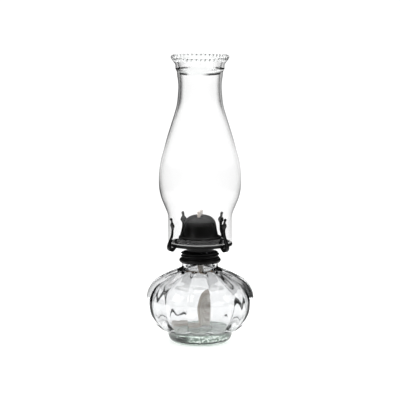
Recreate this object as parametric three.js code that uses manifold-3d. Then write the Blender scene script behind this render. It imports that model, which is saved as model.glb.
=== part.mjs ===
// Table oil lamp: melon-ribbed glass font, screw-on flat-wick burner with four spring prongs,
// and a bead-topped glass chimney. Millimetres, +Z up, origin at the middle of the foot's underside.
// The front of the lamp faces -Y.
import * as THREE from 'three';
import { mergeVertices } from 'three/addons/utils/BufferGeometryUtils.js';
import Module from 'manifold-3d';

const wasm = await Module();
wasm.setup();

// ---------------------------------------------------------------- driving dimensions
const GAP = 0.3; // between pieces that rest on or pass through each other

// font (the glass oil reservoir)
const RIBS = 14;
const RIB_TURN = THREE.MathUtils.degToRad(12); // first groove, right of the front
const RIB_DEPTH = 2.7;
const FOOT_RADIUS = 33.9;
const FONT_RADIUS = 58.6; // over the ribs
const FONT_WALL = 3.4;
const FONT_FLOOR = 13.5;
const NECK_RADIUS = 18.9;
const NECK_BORE = 13.6;
const NECK_TOP = 94.4;

// screw cap and its thread
const THREAD_PITCH = 3.5;
const THREAD_DEPTH = 1.4;
const CAP_ROOT = 19.0; // outside of the cap in the thread's valleys
const CAP_TOP = 97.1;
const CAP_SHEET = 0.55;
const THREAD_CLEARANCE = 0.42;
const CAP_HOLE = 13.0;

// burner
const BOWL_RADIUS = 14.4;
const BOWL_LIP = 21.0;
const SHEET = 0.8;
const FLANGE_TOP = 107.3;
const FLANGE_RADIUS = 34.2;
const FLANGE_DROP = 2.9;
const DOME_BASE_RADIUS = 22.6;
const DOME_STEP = 113.5;
const DOME_TOP = 136.4;
const AIR_HOLES = 16;

// wick, wick tube and wick raiser, which share one direction across the lamp
const WICK_TURN = THREE.MathUtils.degToRad(78);
const WICK_WIDTH = 16;
const WICK_THICKNESS = 2.8;
const WICK_TOP = 140.4;
const WICK_JOIN = 84;
const TUBE_WALL = 0.6;
const TUBE_BOTTOM = 86;
const TUBE_TOP = 130.5;
const SHAFT_HEIGHT = 100.4;
const SHAFT_RADIUS = 1.2;
const STAR_RADIUS = 3.6;
const STAR_TEETH = 8;
const SHAFT_OFFSET = WICK_THICKNESS / 2 + GAP + STAR_RADIUS;
const THUMB_RADIUS = 8;
const THUMB_REACH = 39;

// prongs: where each one stands round the gallery, in degrees counted from +X
const PRONG_ANGLES = { front_left: 213, front_right: 317, back_right: 50, back_left: 120.5 };
const PRONG_SHEET = 0.8;
const PRONG_WIDTH = 4.2;
const RIVET_CIRCLE = 25.6;

// chimney
const CHIMNEY_BOTTOM = FLANGE_TOP + GAP;
const CHIMNEY_TOP = 304.4;
const FITTER_RADIUS = 33.5;
const CHIMNEY_WALL = 2.1;
const BEADS = 38;

// ---------------------------------------------------------------- finishes
const finish = (color, roughness, metalness) =>
  new THREE.MeshStandardMaterial({ color, roughness, metalness });
const clearGlass = finish(0xe4ece8, 0.04, 0);
const blackSteel = finish(0x17181a, 0.42, 0.55);
const brightSteel = finish(0x8b8d90, 0.35, 0.9);
const cork = finish(0x8d6a45, 0.85, 0);
const cotton = finish(0xd9d2c2, 0.95, 0);

// ---------------------------------------------------------------- helpers
const lamp = new THREE.Group();

function addPart(name, geometry, material, parent = lamp) {
  const mesh = new THREE.Mesh(geometry, material);
  mesh.name = name;
  parent.add(mesh);
  return mesh;
}

// closed three.js geometry -> solid that can be joined and cut
function solid(geometry) {
  const bare = geometry.clone();
  bare.deleteAttribute('normal');
  bare.deleteAttribute('uv');
  const merged = mergeVertices(bare, 1e-4);
  const triangles = [];
  const index = merged.index.array;
  for (let i = 0; i < index.length; i += 3) {
    const [a, b, c] = [index[i], index[i + 1], index[i + 2]];
    if (a !== b && b !== c && a !== c) triangles.push(a, b, c);
  }
  return new wasm.Manifold(new wasm.Mesh({
    numProp: 3,
    vertProperties: new Float32Array(merged.attributes.position.array),
    triVerts: new Uint32Array(triangles),
  }));
}

// solid -> three.js geometry
function geometry(body) {
  const mesh = body.getMesh();
  const result = new THREE.BufferGeometry();
  result.setAttribute('position', new THREE.BufferAttribute(new Float32Array(mesh.vertProperties), 3));
  result.setIndex(new THREE.BufferAttribute(new Uint32Array(mesh.triVerts), 1));
  result.computeVertexNormals();
  return result;
}

// ring or disc turned about Z from [radius, height] points, listed anticlockwise
function turned(profile, segments = 40) {
  const points = profile.map(([r, z]) => new THREE.Vector2(r, z));
  return new THREE.LatheGeometry(points, segments).rotateX(Math.PI / 2);
}

const ring = (inner, outer, bottom, top, segments = 40) => turned([
  [inner, bottom], [outer, bottom], [outer, top], [inner, top], [inner, bottom],
], segments);

const disc = (radius, bottom, top, segments = 24) => turned([
  [0, bottom], [radius, bottom], [radius, top], [0, top],
], segments);

// smooth outline through [radius, height] points
const smooth = (points, steps) =>
  new THREE.SplineCurve(points.map(([r, z]) => new THREE.Vector2(r, z)))
    .getPoints(steps).map((p) => [p.x, p.y]);

// flat outline in the X-Y plane pushed up from bottom to top
const slab = (shape, bottom, top, curveSegments = 6) =>
  new THREE.ExtrudeGeometry(shape, { depth: top - bottom, bevelEnabled: false, curveSegments })
    .translate(0, 0, bottom);

// rectangle with round ends, long along X
function oval(length, width) {
  const shape = new THREE.Shape();
  const [half, r] = [(length - width) / 2, width / 2];
  shape.absarc(half, 0, r, -Math.PI / 2, Math.PI / 2);
  shape.absarc(-half, 0, r, Math.PI / 2, 1.5 * Math.PI);
  return shape;
}

const box = (x, y, z, sx, sy, sz) => new THREE.BoxGeometry(sx, sy, sz).translate(x, y, z);

// cylinder along X
const rodX = (radius, from, to, segments = 16) =>
  new THREE.CylinderGeometry(radius, radius, to - from, segments)
    .rotateZ(-Math.PI / 2).translate((from + to) / 2, 0, 0);

// moves every point of a geometry to where place() puts it
function reshape(target, place) {
  const position = target.attributes.position;
  const point = new THREE.Vector3();
  for (let i = 0; i < position.count; i += 1) {
    place(point.fromBufferAttribute(position, i));
    position.setXYZ(i, point.x, point.y, point.z);
  }
  return target;
}

// solid cylinder whose wall carries a right-hand rolled thread
function threaded(root, bottom, top, segments = 30) {
  const rows = Math.round((top - bottom) / (THREAD_PITCH / 6));
  const wall = Array.from({ length: rows + 1 }, (_, i) => [root, bottom + ((top - bottom) * i) / rows]);
  return reshape(turned([[0, bottom], ...wall, [0, top]], segments), (p) => {
    const radius = Math.hypot(p.x, p.y);
    if (radius < root / 2) return;
    const phase = (2 * Math.PI * p.z) / THREAD_PITCH - Math.atan2(p.y, p.x);
    const scale = (root + (THREAD_DEPTH * (1 + Math.cos(phase))) / 2) / radius;
    p.x *= scale;
    p.y *= scale;
  });
}

// ---------------------------------------------------------------- font
function fontGlass() {
  const shoulder = smooth([
    [36.5, 12.6], [42, 15.4], [50.6, 23.2], [56.6, 33], [FONT_RADIUS, 45], [56.8, 54.5],
    [50.6, 64], [42.5, 69.8], [32, 75.2], [24, 78.3],
  ], 12);
  const outline = [
    [0, 1.4], [18, 1.4], [20.5, 0], [26, 0], [29.9, 2.1], [33, 5.4], [FOOT_RADIUS, 8.8],
    ...shoulder, [NECK_RADIUS, 81.4], [NECK_RADIUS, 86.6], [17, 88], [0, 88],
  ];
  const ribbed = reshape(turned(outline, RIBS * 4), (p) => {
    const radius = Math.hypot(p.x, p.y);
    if (radius < FOOT_RADIUS || p.z < 11) return;
    const grooves = 1 - Math.abs(Math.sin((RIBS / 2) * Math.atan2(p.y, p.x)));
    const fade = Math.min(1, (radius - 25) / 20);
    const scale = 1 - (RIB_DEPTH * grooves * fade) / radius;
    p.x *= scale;
    p.y *= scale;
  }).rotateZ(RIB_TURN - Math.PI / 2);
  const threadRoot = CAP_ROOT - CAP_SHEET - THREAD_CLEARANCE;
  const neck = solid(threaded(threadRoot, 87, NECK_TOP));
  const inside = FONT_WALL + RIB_DEPTH;
  const cavity = turned([
    [0, FONT_FLOOR], [26, FONT_FLOOR],
    ...smooth([
      [34, 15.4], [44, 22.5], [FONT_RADIUS - inside, 36], [FONT_RADIUS - inside, 50],
      [46, 60.5], [36, 67.5], [24, 73.2], [NECK_BORE + 1, 77.5],
    ], 8),
    [NECK_BORE, 80], [NECK_BORE, NECK_TOP + 2], [0, NECK_TOP + 2],
  ], 28);
  return geometry(solid(ribbed).add(neck).subtract(solid(cavity)));
}

// ---------------------------------------------------------------- screw cap
function screwCap() {
  const bead = (inset) => [
    [19.4 - inset, 90.6], [21.2 - inset, 89.6], [22.1 - inset, 87.8], [21.7 - inset, 85.8],
    [20.4 - inset, 84.4 - inset],
  ].reverse();
  const outside = solid(threaded(CAP_ROOT, 89.8, CAP_TOP))
    .add(solid(turned([[0, 84.4], ...bead(0), [0, 90.6]], 30)));
  const inside = solid(threaded(CAP_ROOT - CAP_SHEET, 88.6, CAP_TOP - SHEET))
    .add(solid(turned([[0, 84.4 - CAP_SHEET], ...bead(CAP_SHEET), [0, 90.6]], 30)));
  const hole = solid(disc(CAP_HOLE, CAP_TOP - 3, CAP_TOP + 2, 30));
  const sleeve = solid(disc(NECK_RADIUS + 0.45, 84, 90, 30));
  return geometry(outside.subtract(inside).subtract(hole).subtract(sleeve));
}

// ---------------------------------------------------------------- burner body and gallery
function holesRound(count, radius, height, holeRadius, tilt = 0) {
  const cutters = [];
  for (let i = 0; i < count; i += 1) {
    const pin = rodX(holeRadius, radius - 4, radius + 4, 8)
      .rotateY(tilt).translate(0, 0, height).rotateZ((2 * Math.PI * (i + 0.5)) / count);
    cutters.push(solid(pin));
  }
  return cutters.reduce((all, one) => all.add(one));
}

const alongWick = (shape) => shape.rotateZ(WICK_TURN);

function burnerBowl() {
  const bottom = CAP_TOP + GAP;
  const top = FLANGE_TOP - SHEET - GAP;
  const shell = turned([
    [CAP_HOLE, bottom], [BOWL_RADIUS, bottom], [BOWL_RADIUS, 102.6], [BOWL_LIP, top - SHEET],
    [BOWL_LIP, top], [BOWL_LIP - 1.2, top], [BOWL_RADIUS - SHEET, 103.2],
    [BOWL_RADIUS - SHEET, bottom + SHEET], [CAP_HOLE, bottom + SHEET], [CAP_HOLE, bottom],
  ], 36);
  const shaftHole = alongWick(rodX(2.4, 8, 20).translate(0, SHAFT_OFFSET, SHAFT_HEIGHT));
  return geometry(solid(shell)
    .subtract(holesRound(AIR_HOLES, 17.4, 104.6, 0.9, 0.9))
    .subtract(solid(shaftHole)));
}

function gallery() {
  const rim = [
    [FLANGE_RADIUS - 1.2, FLANGE_TOP], [FLANGE_RADIUS - 0.3, FLANGE_TOP - 0.3],
    [FLANGE_RADIUS, FLANGE_TOP - 1.2], [FLANGE_RADIUS, FLANGE_TOP - FLANGE_DROP],
    [FLANGE_RADIUS - SHEET, FLANGE_TOP - FLANGE_DROP], [FLANGE_RADIUS - SHEET, FLANGE_TOP - 1.3],
    [FLANGE_RADIUS - 1.4, FLANGE_TOP - SHEET],
  ].reverse();
  const inner = 19.2;
  const plate = turned([
    [inner, FLANGE_TOP - SHEET], ...rim, [inner, FLANGE_TOP], [inner, FLANGE_TOP - SHEET],
  ], 40);
  let body = solid(plate);
  for (const degrees of Object.values(PRONG_ANGLES)) {
    const pin = disc(1 + GAP, FLANGE_TOP - 3, FLANGE_TOP + 3, 12).translate(RIVET_CIRCLE, 0, 0)
      .rotateZ(THREE.MathUtils.degToRad(degrees));
    body = body.subtract(solid(pin));
  }
  return geometry(body);
}

function airPlate() {
  const plate = solid(disc(DOME_BASE_RADIUS - SHEET - GAP, 108.6, 109.3, 36));
  const slot = solid(alongWick(slab(
    oval(WICK_WIDTH + 2 * TUBE_WALL + 2, WICK_THICKNESS + 2 * TUBE_WALL + 2), 107, 111,
  )));
  let body = plate.subtract(slot);
  for (const [circle, count] of [[14.2, 12], [18.2, 16]]) {
    for (let i = 0; i < count; i += 1) {
      const turn = (2 * Math.PI * (i + 0.5)) / count;
      body = body.subtract(solid(disc(1.1, 107, 111, 6).translate(circle, 0, 0).rotateZ(turn)));
    }
  }
  return geometry(body);
}

function flameDome() {
  const foot = FLANGE_TOP + GAP;
  const outside = [
    [DOME_BASE_RADIUS, foot], [DOME_BASE_RADIUS, DOME_STEP - 0.7], [DOME_BASE_RADIUS - 0.7, DOME_STEP],
    [20.2, DOME_STEP + 0.3], [19.1, DOME_STEP + 1.8], [18.2, 118.6], [17.6, 122.6], [16.7, 127],
    [15.5, 130.4], [13.4, 133], [10, 135], [5.5, DOME_TOP - 0.3], [0, DOME_TOP],
  ];
  const inside = outside.map(([r, z], i) => (i === 0
    ? [r - SHEET, z - 1]
    : [Math.max(0, r - SHEET), z - Math.min(SHEET, (z - foot) / 8)]));
  const shell = solid(turned([[0, foot], ...outside], 28))
    .subtract(solid(turned([[0, foot - 1], ...inside], 28)));
  const slot = alongWick(slab(oval(23, WICK_THICKNESS + 3), 128, DOME_TOP + 4));
  return geometry(shell.subtract(solid(slot)));
}

// ---------------------------------------------------------------- wick tube and raiser
function wickTube() {
  const inside = slab(oval(WICK_WIDTH + 2 * GAP + 0.6, WICK_THICKNESS + 2 * GAP),
    TUBE_BOTTOM - 1, TUBE_TOP + 1);
  const outside = slab(oval(WICK_WIDTH + 2 * GAP + 0.6 + 2 * TUBE_WALL,
    WICK_THICKNESS + 2 * GAP + 2 * TUBE_WALL), TUBE_BOTTOM, TUBE_TOP);
  const window = box(0, 3, SHAFT_HEIGHT, 13.2, 4, 8.4);
  const tube = solid(outside).subtract(solid(inside)).subtract(solid(window));
  return geometry(tube).rotateZ(WICK_TURN);
}

// sheet-metal box soldered to the tube round the star wheels; the shaft runs in its end walls
function raiserHousing() {
  const face = WICK_THICKNESS / 2 + GAP + TUBE_WALL + GAP;
  const depth = SHAFT_OFFSET + STAR_RADIUS + 1.1 - face;
  const middle = face + depth / 2;
  const shell = solid(box(0, middle, SHAFT_HEIGHT, 15.4, depth, 10.6));
  const hollow = solid(box(0, middle - SHEET, SHAFT_HEIGHT, 15.4 - 2 * SHEET, depth, 10.6 - 2 * SHEET));
  const bearing = solid(rodX(SHAFT_RADIUS + 0.1, -10, 10).translate(0, SHAFT_OFFSET, SHAFT_HEIGHT));
  return geometry(shell.subtract(hollow).subtract(bearing)).rotateZ(WICK_TURN);
}

// the shaft and what turns with it are drawn about their own axis, then put in place together
const raiser = new THREE.Group();
raiser.rotation.z = WICK_TURN;
const shaftLine = new THREE.Group();
shaftLine.position.set(0, SHAFT_OFFSET, SHAFT_HEIGHT);
raiser.add(shaftLine);

function starWheel() {
  const shape = new THREE.Shape();
  for (let i = 0; i < STAR_TEETH; i += 1) {
    const step = (2 * Math.PI) / STAR_TEETH;
    for (const [part, radius] of [[0, STAR_RADIUS], [0.5, STAR_RADIUS - 1.3]]) {
      const angle = (i + part) * step;
      const [x, y] = [radius * Math.cos(angle), radius * Math.sin(angle)];
      if (i === 0 && part === 0) shape.moveTo(x, y);
      else shape.lineTo(x, y);
    }
  }
  const bore = new THREE.Path().absarc(0, 0, SHAFT_RADIUS + GAP, 0, 2 * Math.PI, true);
  shape.holes.push(bore);
  return slab(shape, -0.5, 0.5, 4).rotateY(Math.PI / 2);
}

function thumbWheel() {
  const shape = new THREE.Shape();
  const notches = 24;
  for (let i = 0; i < 2 * notches; i += 1) {
    const angle = (Math.PI * i) / notches;
    const radius = i % 2 ? THUMB_RADIUS - 0.6 : THUMB_RADIUS;
    const [x, y] = [radius * Math.cos(angle), radius * Math.sin(angle)];
    if (i === 0) shape.moveTo(x, y);
    else shape.lineTo(x, y);
  }
  const rim = solid(slab(shape, -1.3, 1.3));
  const dish = solid(disc(THUMB_RADIUS - 2, 0.5, 3, 24)).add(solid(disc(THUMB_RADIUS - 2, -3, -0.5, 24)));
  const hub = solid(disc(2.6, -1.5, 1.5, 16));
  const bore = solid(disc(SHAFT_RADIUS + GAP, -4, 4, 12));
  return geometry(rim.subtract(dish).add(hub).subtract(bore)).rotateY(Math.PI / 2);
}

// ---------------------------------------------------------------- prongs
// side outline of the spring, [radius, height], from the rivet round the rim and up the glass
const PRONG_LINE = [
  [24.4, 105.75], [27.4, 105.75], [30.4, 104.9], [32.4, 102.6], [34.8, 100.4], [37.8, 101],
  [39.6, 103.6], [39.3, 107], [37.3, 111.4], [35.2, 116.4], [34.5, 121.4], [34.5, 126.4], [35, 130.4],
  [35.9, 133.6],
];
// half width of the strip at fractions of its length: plain stem, three-lobed leaf, round tip
const prongHalfWidth = (t) => {
  if (t < 0.8) return PRONG_WIDTH / 2 - 0.5 * THREE.MathUtils.smoothstep(t, 0.45, 0.75);
  const leaf = Math.sin(Math.PI * THREE.MathUtils.clamp((t - 0.8) / 0.14, 0, 1));
  return 1.45 + 2.4 * leaf ** 0.8;
};

function prong() {
  const line = new THREE.SplineCurve(PRONG_LINE.map(([r, z]) => new THREE.Vector2(r, z)));
  const steps = 18;
  const middle = line.getSpacedPoints(steps);
  const offset = (side) => middle.map((p, i) => {
    const tangent = line.getTangentAt(i / steps);
    return new THREE.Vector2(p.x + tangent.y * side, p.y - tangent.x * side);
  });
  const outline = [...offset(-PRONG_SHEET / 2), ...offset(PRONG_SHEET / 2).reverse()];
  const strip = new THREE.ExtrudeGeometry(new THREE.Shape(outline), { depth: 2, bevelEnabled: false });
  const points = outline.map((p, i) => [p, i <= steps ? i / steps : (2 * steps + 1 - i) / steps]);
  const across = new Map(points.map(([p, t]) => [`${p.x.toFixed(3)},${p.y.toFixed(3)}`, prongHalfWidth(t)]));
  reshape(strip, (p) => {
    const half = across.get(`${p.x.toFixed(3)},${p.y.toFixed(3)}`);
    p.set(p.x, (p.z > 1 ? -1 : 1) * half, p.y);
  });
  const tip = new THREE.SphereGeometry(1.5, 10, 6).translate(36.1, 0, 134.2);
  const rivetHole = disc(1 + GAP, 104, 107.2, 12).translate(RIVET_CIRCLE, 0, 0);
  return geometry(solid(strip).add(solid(tip)).subtract(solid(rivetHole)));
}

const rivet = () => turned([
  [0, 104.0], [1.9, 104.0], [1.9, 105.05], [1, 105.05], [1, 107.6], [1.9, 107.6], [1.5, 108.3], [0, 108.5],
], 8).translate(RIVET_CIRCLE, 0, 0);

// ---------------------------------------------------------------- wick
function upperWick() {
  const shape = oval(WICK_WIDTH, WICK_THICKNESS);
  return slab(shape, WICK_JOIN + GAP, WICK_TOP, 4).rotateZ(WICK_TURN);
}

// the loose end hangs through the font and lies on its floor; its face turns with the tube
const TAIL_LINE = [
  [0, WICK_JOIN], [1.2, 76], [3, 68], [1.5, 58], [-1, 48], [0.5, 38], [4.2, 29], [4.5, 21],
  [0, 17], [-9, 15.8], [-19, 15.8], [-30, 17.4],
];

function wickTail() {
  const path = new THREE.CatmullRomCurve3(TAIL_LINE.map(([x, z]) => new THREE.Vector3(x, 0, z)));
  const section = oval(WICK_WIDTH, 2.4);
  const tail = new THREE.ExtrudeGeometry(section, { steps: 24, curveSegments: 2, extrudePath: path });
  return tail.rotateZ(WICK_TURN - Math.PI / 2);
}

// ---------------------------------------------------------------- chimney
function chimneyGlass() {
  const outer = [
    [FITTER_RADIUS - 0.6, CHIMNEY_BOTTOM], [FITTER_RADIUS, CHIMNEY_BOTTOM + 0.8], [FITTER_RADIUS, 120],
    ...smooth([
      [FITTER_RADIUS, 130], [34.6, 137.4], [37.2, 145], [40.6, 154], [42.9, 163.6], [43.4, 173.5],
      [42.9, 184], [41, 195.7], [38.4, 205], [34.9, 218], [31.2, 230], [27.6, 241.4], [25, 250.6],
      [23.8, 258], [22.8, 271.5], [23.3, 279.5], [23.9, 283],
    ], 16),
    [24.6, 286], [25.6, 288.3], [25.7, 293.6], [26.6, 295.2], [29.2, 298.6], [30.6, 301.6],
    [30.4, 303.4], [29, CHIMNEY_TOP],
  ];
  const t = CHIMNEY_WALL;
  const inner = [
    [FITTER_RADIUS - t, CHIMNEY_BOTTOM], [FITTER_RADIUS - t, 126],
    ...smooth([
      [FITTER_RADIUS - t, 131], [35.6, 146], [41, 166], [41, 182], [38, 198], [33, 217],
      [25.6, 241.4], [21.8, 258], [20.8, 272], [21.2, 281],
    ], 9),
    [22, 290], [23.6, 296.5], [26.4, 300.6], [27.2, CHIMNEY_TOP - 0.2], [29, CHIMNEY_TOP],
  ];
  const wall = solid(turned([...outer, ...inner.slice(0, -1).reverse(), outer[0]], 32));
  const circle = 28.9;
  const beads = reshape(new THREE.TorusGeometry(circle, 1.9, 6, 2 * BEADS), (p) => {
    const ratio = circle / Math.hypot(p.x, p.y);
    const centre = new THREE.Vector3(p.x * ratio, p.y * ratio, 0);
    const swell = 0.74 + 0.26 * Math.cos(BEADS * Math.atan2(p.y, p.x));
    p.sub(centre).multiplyScalar(swell).add(centre);
  }).translate(0, 0, CHIMNEY_TOP - 0.6);
  return geometry(wall.add(solid(beads)));
}

// ---------------------------------------------------------------- assembly
addPart('font', fontGlass(), clearGlass);
addPart('cap_gasket', ring(14.3, 16.6, NECK_TOP + GAP, CAP_TOP - SHEET - GAP, 30), cork);
addPart('screw_cap', screwCap(), blackSteel);
addPart('burner_bowl', burnerBowl(), blackSteel);
addPart('gallery', gallery(), blackSteel);
addPart('air_plate', airPlate(), blackSteel);
addPart('flame_dome', flameDome(), blackSteel);
addPart('wick_tube', wickTube(), blackSteel);
addPart('raiser_housing', raiserHousing(), blackSteel);

lamp.add(raiser);
addPart('wick_shaft', rodX(SHAFT_RADIUS, -9, THUMB_REACH), brightSteel, shaftLine);
for (const [i, x] of [-4.8, 0, 4.8].entries()) {
  addPart(`star_wheel_${i + 1}`, starWheel(), brightSteel, shaftLine).position.x = x;
}
addPart('thumb_wheel', thumbWheel(), blackSteel, shaftLine).position.x = THUMB_REACH - 1.4;
const bush = turned([
  [SHAFT_RADIUS + 0.1, -2.4], [2.1, -2.4], [2.1, 1.9], [3.2, 1.9], [3.2, 2.6],
  [SHAFT_RADIUS + 0.1, 2.6], [SHAFT_RADIUS + 0.1, -2.4],
], 16).rotateY(Math.PI / 2);
addPart('shaft_bush', bush, brightSteel, shaftLine).position.x = 14;

for (const [place, degrees] of Object.entries(PRONG_ANGLES)) {
  const stand = new THREE.Group();
  stand.rotation.z = THREE.MathUtils.degToRad(degrees);
  addPart(`prong_${place}`, prong(), blackSteel, stand);
  addPart(`prong_rivet_${place}`, rivet(), blackSteel, stand);
  lamp.add(stand);
}

addPart('wick', upperWick(), cotton);
addPart('wick_tail', wickTail(), cotton);
addPart('chimney', chimneyGlass(), clearGlass);

export default lamp;
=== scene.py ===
"""Table oil lamp: melon-ribbed glass font, black flat-wick burner, glass chimney.

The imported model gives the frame, the moving bodies and their places. This script models the
visible pieces again with a fine surface, dresses every piece in a procedural finish and sets up
a plain pale studio. Lengths named in the classes are millimetres; Blender's are metres.
"""

import logging
import math
from dataclasses import dataclass, field
from enum import Enum, IntEnum
from typing import Callable, Iterable, Sequence

import bpy
from bpy.types import Material, MeshPolygon, Node, NodeSocket, NodeTree, Object
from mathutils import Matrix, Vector


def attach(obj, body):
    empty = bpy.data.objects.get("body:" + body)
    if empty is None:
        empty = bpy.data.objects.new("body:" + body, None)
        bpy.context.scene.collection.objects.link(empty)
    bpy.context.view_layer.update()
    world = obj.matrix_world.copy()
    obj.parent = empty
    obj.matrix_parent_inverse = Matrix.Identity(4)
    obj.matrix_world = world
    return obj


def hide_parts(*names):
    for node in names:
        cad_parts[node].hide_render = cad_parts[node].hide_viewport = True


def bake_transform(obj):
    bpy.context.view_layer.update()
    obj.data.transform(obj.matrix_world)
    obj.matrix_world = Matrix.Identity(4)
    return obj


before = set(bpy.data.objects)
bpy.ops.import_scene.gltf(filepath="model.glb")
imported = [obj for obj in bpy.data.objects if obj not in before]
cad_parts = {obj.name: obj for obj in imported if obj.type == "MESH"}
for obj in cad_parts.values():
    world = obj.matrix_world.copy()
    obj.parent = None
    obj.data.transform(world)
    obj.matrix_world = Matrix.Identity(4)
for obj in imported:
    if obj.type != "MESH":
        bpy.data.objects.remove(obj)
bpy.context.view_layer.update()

logging.basicConfig(level=logging.INFO, format="%(name)s: %(message)s")
LOG = logging.getLogger("oil_lamp")

Colour = tuple[float, float, float]
Outline = list[tuple[float, float]]
Pairs = tuple[tuple[float, float], ...]
Stops = Sequence[tuple[float, float | Colour]]

# One millimetre in metres.
MM = 0.001
# How near two points of a solid or of an outline have to be to become one, in metres.
WELD = 2e-6
DRAWN_WELD = 1e-6
# Air between pieces that stand on each other, in millimetres.
GAP = 0.3
# Height of the cap's top, in millimetres.
CAP_TOP = 97.1
# Thread of the neck and the cap: rise for one turn, depth and height between points, in millimetres.
THREAD_PITCH = 3.5
THREAD_DEPTH = 1.4
THREAD_STEP = 0.29
# How far the wick's slot is turned from the X axis, in degrees.
WICK_TURN = 78.0
# Where each prong stands, in degrees, and how far out its rivet is, in millimetres.
PRONG_PLACES = {"front_left": 213.0, "front_right": 317.0, "back_right": 50.0, "back_left": 120.5}
RIVET_CIRCLE = 25.6
# Height that the blown glass's ramps of painted edge shade cover, in millimetres.
RAMP_HEIGHT = 320.0
# Names of the wick's own map and of the points that a carving moves.
WEAVE_MAP = "weave"
CARVED = "carve"
# Places of a colour mix node's share and its two colours, and of its colour output.
MIX_INPUTS = (0, 6, 7)
MIX_COLOUR_OUTPUT = 2


class Body(Enum):
    """Moving bodies that the modelled pieces ride on."""

    FONT = "font"
    BURNER = "burner"
    WICK = "wick"
    CHIMNEY = "chimney"


class Slot(Enum):
    """The record's material slots of the modelled pieces."""

    GLASS = "clear_glass"
    BLACK = "black_steel"
    COTTON = "cotton"


# ------------------------------------------------------------------ outlines


def smooth_line(points: Sequence[tuple[float, float]], per_span: int) -> Outline:
    """Runs an even Catmull-Rom curve through the points.

    Args:
        points: corners of the outline, as radius and height.
        per_span: steps between one point and the next.

    Returns:
        The curve's points, ends included.
    """
    ends = [points[0], *points, points[-1]]
    line: Outline = []
    for a, b, c, d in zip(ends, ends[1:], ends[2:], ends[3:]):
        for step in range(per_span):
            t = step / per_span
            point = [
                2 * b[k]
                + (c[k] - a[k]) * t
                + (2 * a[k] - 5 * b[k] + 4 * c[k] - d[k]) * t**2
                + (3 * b[k] - a[k] - 3 * c[k] + d[k]) * t**3
                for k in (0, 1)
            ]
            line.append((0.5 * point[0], 0.5 * point[1]))
    line.append(tuple(points[-1]))
    return line


def arc(centre: tuple[float, float], radius: float, start: float, end: float, steps: int) -> Outline:
    """Points round part of a circle.

    Args:
        centre: middle of the circle, as radius and height.
        radius: size of the circle.
        start: first angle in degrees, 0 outwards and 90 upwards.
        end: last angle in degrees.
        steps: steps from the first point to the last.

    Returns:
        The arc's points, ends included.
    """
    angles = [math.radians(start + (end - start) * i / steps) for i in range(steps + 1)]
    return [(centre[0] + radius * math.cos(a), centre[1] + radius * math.sin(a)) for a in angles]


def offset_line(line: Outline, distance: float) -> Outline:
    """Moves an outline to its left, square to itself.

    Args:
        line: the outline's points, in order.
        distance: how far, in millimetres.

    Returns:
        As many points as the outline has.
    """
    moved: Outline = []
    for i, (r, z) in enumerate(line):
        before, after = line[max(i - 1, 0)], line[min(i + 1, len(line) - 1)]
        run, rise = after[0] - before[0], after[1] - before[1]
        length = math.hypot(run, rise)
        moved.append((r - rise / length * distance, z + run / length * distance))
    return moved


def smoothstep(low: float, high: float, value: float) -> float:
    """Goes from 0 at low to 1 at high without a corner."""
    t = min(max((value - low) / (high - low), 0.0), 1.0)
    return t * t * (3 - 2 * t)


def thread_wave(point: Vector) -> float:
    """Height of a screw thread at a point, 0 at its root and 1 at its crest."""
    phase = math.tau * point.z / THREAD_PITCH - math.atan2(point.y, point.x)
    return (1 + math.cos(phase)) / 2


# ------------------------------------------------------------------ hand tools


def deselect() -> None:
    """Leaves object mode with nothing selected."""
    if bpy.context.mode != "OBJECT":
        bpy.ops.object.mode_set(mode="OBJECT")
    bpy.ops.object.select_all(action="DESELECT")


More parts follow.
